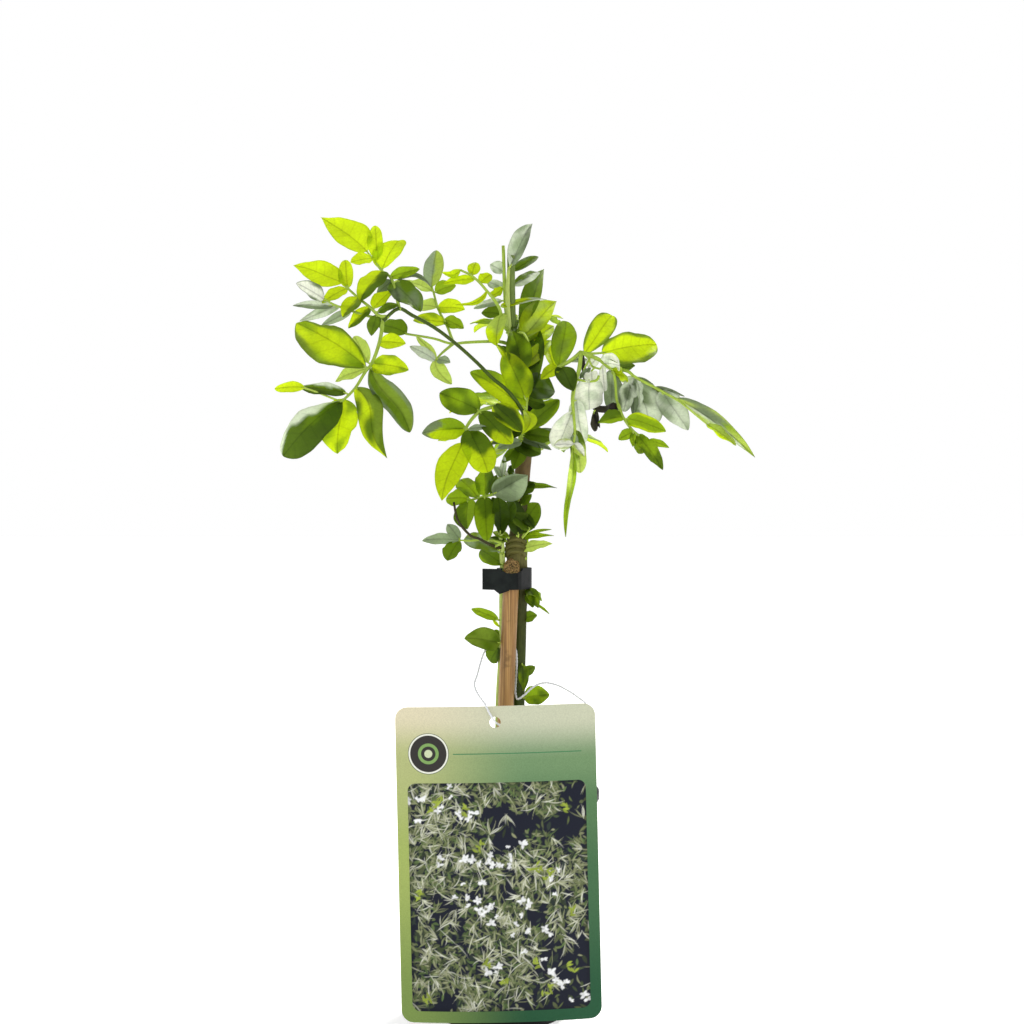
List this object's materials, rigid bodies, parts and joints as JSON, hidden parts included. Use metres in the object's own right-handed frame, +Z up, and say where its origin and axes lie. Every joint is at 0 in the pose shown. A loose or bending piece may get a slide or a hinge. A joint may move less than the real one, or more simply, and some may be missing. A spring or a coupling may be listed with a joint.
{
  "type": "potted common jasmine",
  "caption": "Climbing jasmine with feathered leaves in a round nursery pot, tied to a short bamboo cane, with a card tag hung on a string.",
  "frame": {"origin": "centre of the pot's underside, on the surface that the pot stands on", "axes": "+Z up along the pot's axis, -Y towards the front, where the tag hangs, and +X to the right seen from the front"},
  "size_m": [0.2117, 0.1363, 0.3665],
  "materials": {
    "pot_plastic": "thin black moulded plastic",
    "potting_soil": "moist crumbly potting mix",
    "bamboo": "dry straw-brown bamboo",
    "stem": "green to brown ribbed stem",
    "leaf": "thin soft leaf, lime where light comes through",
    "tie_plastic": "soft black tie",
    "card": "printed satin card",
    "string": "white twisted thread"
  },
  "bodies": {
    "root": {"pot": "pot_plastic", "soil": "potting_soil", "cane": "bamboo", "lower_tie": "tie_plastic", "upper_tie": "tie_plastic", "tag": "card", "tag_string": "string", "main_stem": "stem", "second_stem": "stem", "centre_shoot": "leaf", "middle_left_shoot": "leaf", "left_shoot": "leaf", "upper_left_shoot": "leaf", "top_left_shoot": "leaf", "right_shoot": "leaf", "back_shoot_low": "leaf", "back_shoot_middle": "leaf", "back_shoot_high": "leaf"}
  },
  "joints": []
}
